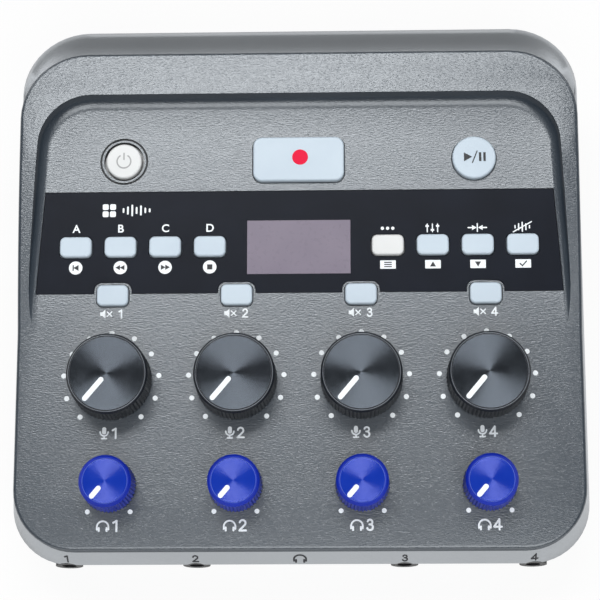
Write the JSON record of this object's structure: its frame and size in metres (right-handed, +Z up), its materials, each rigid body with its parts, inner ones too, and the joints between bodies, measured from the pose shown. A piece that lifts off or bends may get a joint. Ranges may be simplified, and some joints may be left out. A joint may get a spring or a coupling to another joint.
{
  "type": "podcast recorder",
  "caption": "Desktop podcast recorder: sloped control panel in a horseshoe rim, with turning knobs, push buttons, a display, headphone jacks and microphone sockets.",
  "frame": {"origin": "middle of the footprint on the table, under the feet", "axes": "+X to the right of the user, +Y to the rear, +Z up"},
  "size_m": [0.1436, 0.1372, 0.0428],
  "materials": {
    "case_plastic": "satin silver",
    "cover_plastic": "fine leather grain",
    "overlay_black": "satin black sheet",
    "display_glass": "clear",
    "display_panel": "unlit liquid crystal in a black holder",
    "button_white": "translucent white",
    "button_cream": "solid white",
    "gain_knob": "ribbed side, spun top",
    "phone_knob": "blue, ribbed side",
    "steel": "plated",
    "board": "solder resist",
    "switch_black": "moulded",
    "socket_black": "moulded",
    "contact_brass": "plated",
    "contact_steel": "spring strip",
    "cell": "wrapped can",
    "rubber": "matt"
  },
  "bodies": {
    "case": {"lower_case": "case_plastic", "top_cover": "cover_plastic", "display_overlay": "overlay_black", "display_window": "display_glass", "display_module": "display_panel", "gain_pots": "steel", "phone_pots": "steel", "panel_screws": "steel", "main_screws": "steel", "case_screws": "steel", "usb_socket": "steel", "card_slot": "steel", "panel_board": "board", "main_board": "board", "input_board": "board", "key_switches": "switch_black", "headphone_jacks": "socket_black", "side_jacks": "socket_black", "mic_shells": "socket_black", "mic_inserts": "socket_black", "mic_contacts": "contact_brass", "battery_contacts": "contact_steel", "battery_cells": "cell", "rubber_feet": "rubber"},
    "gain_control_1": {"gain_knob_1": "gain_knob", "gain_shaft_1": "steel"},
    "gain_control_2": {"gain_knob_2": "gain_knob", "gain_shaft_2": "steel"},
    "gain_control_3": {"gain_knob_3": "gain_knob", "gain_shaft_3": "steel"},
    "gain_control_4": {"gain_knob_4": "gain_knob", "gain_shaft_4": "steel"},
    "phone_control_1": {"phone_knob_1": "phone_knob", "phone_shaft_1": "steel"},
    "phone_control_2": {"phone_knob_2": "phone_knob", "phone_shaft_2": "steel"},
    "phone_control_3": {"phone_knob_3": "phone_knob", "phone_shaft_3": "steel"},
    "phone_control_4": {"phone_knob_4": "phone_knob", "phone_shaft_4": "steel"},
    "power_button": {"power_button": "button_cream"},
    "record_button": {"record_button": "button_white"},
    "play_button": {"play_button": "button_white"},
    "pad_a": {"pad_a": "button_white"},
    "pad_b": {"pad_b": "button_white"},
    "pad_c": {"pad_c": "button_white"},
    "pad_d": {"pad_d": "button_white"},
    "key_1": {"key_1": "button_cream"},
    "key_2": {"key_2": "button_white"},
    "key_3": {"key_3": "button_white"},
    "key_4": {"key_4": "button_white"},
    "mute_1": {"mute_1": "button_white"},
    "mute_2": {"mute_2": "button_white"},
    "mute_3": {"mute_3": "button_white"},
    "mute_4": {"mute_4": "button_white"},
    "battery_door": {"battery_door": "case_plastic"}
  },
  "joints": [
    {"name": "gain_1_turn", "type": "hinge", "parent": "case", "child": "gain_control_1", "pos_m": [-0.0465, -0.02505, 0.03066], "axis": [0, 0.0872, -0.9962], "range_deg": [0, 280]},
    {"name": "gain_2_turn", "type": "hinge", "parent": "case", "child": "gain_control_2", "pos_m": [-0.0155, -0.02505, 0.03066], "axis": [0, 0.0872, -0.9962], "range_deg": [0, 280]},
    {"name": "gain_3_turn", "type": "hinge", "parent": "case", "child": "gain_control_3", "pos_m": [0.0155, -0.02505, 0.03066], "axis": [0, 0.0872, -0.9962], "range_deg": [0, 280]},
    {"name": "gain_4_turn", "type": "hinge", "parent": "case", "child": "gain_control_4", "pos_m": [0.0465, -0.02505, 0.03066], "axis": [0, 0.0872, -0.9962], "range_deg": [0, 280]},
    {"name": "phone_1_turn", "type": "hinge", "parent": "case", "child": "phone_control_1", "pos_m": [-0.0465, -0.0512, 0.02837], "axis": [0, 0.0872, -0.9962], "range_deg": [0, 280]},
    {"name": "phone_2_turn", "type": "hinge", "parent": "case", "child": "phone_control_2", "pos_m": [-0.0155, -0.0512, 0.02837], "axis": [0, 0.0872, -0.9962], "range_deg": [0, 280]},
    {"name": "phone_3_turn", "type": "hinge", "parent": "case", "child": "phone_control_3", "pos_m": [0.0155, -0.0512, 0.02837], "axis": [0, 0.0872, -0.9962], "range_deg": [0, 280]},
    {"name": "phone_4_turn", "type": "hinge", "parent": "case", "child": "phone_control_4", "pos_m": [0.0465, -0.0512, 0.02837], "axis": [0, 0.0872, -0.9962], "range_deg": [0, 280]},
    {"name": "power_press", "type": "slide", "parent": "case", "child": "power_button", "axis": [0, 0.0872, -0.9962], "range_m": [0, 0.0008], "stiffness_N_per_m": 2000},
    {"name": "record_press", "type": "slide", "parent": "case", "child": "record_button", "axis": [0, 0.0872, -0.9962], "range_m": [0, 0.0008], "stiffness_N_per_m": 2000},
    {"name": "play_press", "type": "slide", "parent": "case", "child": "play_button", "axis": [0, 0.0872, -0.9962], "range_m": [0, 0.0008], "stiffness_N_per_m": 2000},
    {"name": "pad_a_press", "type": "slide", "parent": "case", "child": "pad_a", "axis": [0, 0.0872, -0.9962], "range_m": [0, 0.0008], "stiffness_N_per_m": 2000},
    {"name": "pad_b_press", "type": "slide", "parent": "case", "child": "pad_b", "axis": [0, 0.0872, -0.9962], "range_m": [0, 0.0008], "stiffness_N_per_m": 2000},
    {"name": "pad_c_press", "type": "slide", "parent": "case", "child": "pad_c", "axis": [0, 0.0872, -0.9962], "range_m": [0, 0.0008], "stiffness_N_per_m": 2000},
    {"name": "pad_d_press", "type": "slide", "parent": "case", "child": "pad_d", "axis": [0, 0.0872, -0.9962], "range_m": [0, 0.0008], "stiffness_N_per_m": 2000},
    {"name": "key_1_press", "type": "slide", "parent": "case", "child": "key_1", "axis": [0, 0.0872, -0.9962], "range_m": [0, 0.0008], "stiffness_N_per_m": 2000},
    {"name": "key_2_press", "type": "slide", "parent": "case", "child": "key_2", "axis": [0, 0.0872, -0.9962], "range_m": [0, 0.0008], "stiffness_N_per_m": 2000},
    {"name": "key_3_press", "type": "slide", "parent": "case", "child": "key_3", "axis": [0, 0.0872, -0.9962], "range_m": [0, 0.0008], "stiffness_N_per_m": 2000},
    {"name": "key_4_press", "type": "slide", "parent": "case", "child": "key_4", "axis": [0, 0.0872, -0.9962], "range_m": [0, 0.0008], "stiffness_N_per_m": 2000},
    {"name": "mute_1_press", "type": "slide", "parent": "case", "child": "mute_1", "axis": [0, 0.0872, -0.9962], "range_m": [0, 0.0008], "stiffness_N_per_m": 2000},
    {"name": "mute_2_press", "type": "slide", "parent": "case", "child": "mute_2", "axis": [0, 0.0872, -0.9962], "range_m": [0, 0.0008], "stiffness_N_per_m": 2000},
    {"name": "mute_3_press", "type": "slide", "parent": "case", "child": "mute_3", "axis": [0, 0.0872, -0.9962], "range_m": [0, 0.0008], "stiffness_N_per_m": 2000},
    {"name": "mute_4_press", "type": "slide", "parent": "case", "child": "mute_4", "axis": [0, 0.0872, -0.9962], "range_m": [0, 0.0008], "stiffness_N_per_m": 2000},
    {"name": "battery_door_slide", "type": "slide", "parent": "case", "child": "battery_door", "axis": [0, -1, 0], "range_m": [0, 0.005]}
  ]
}
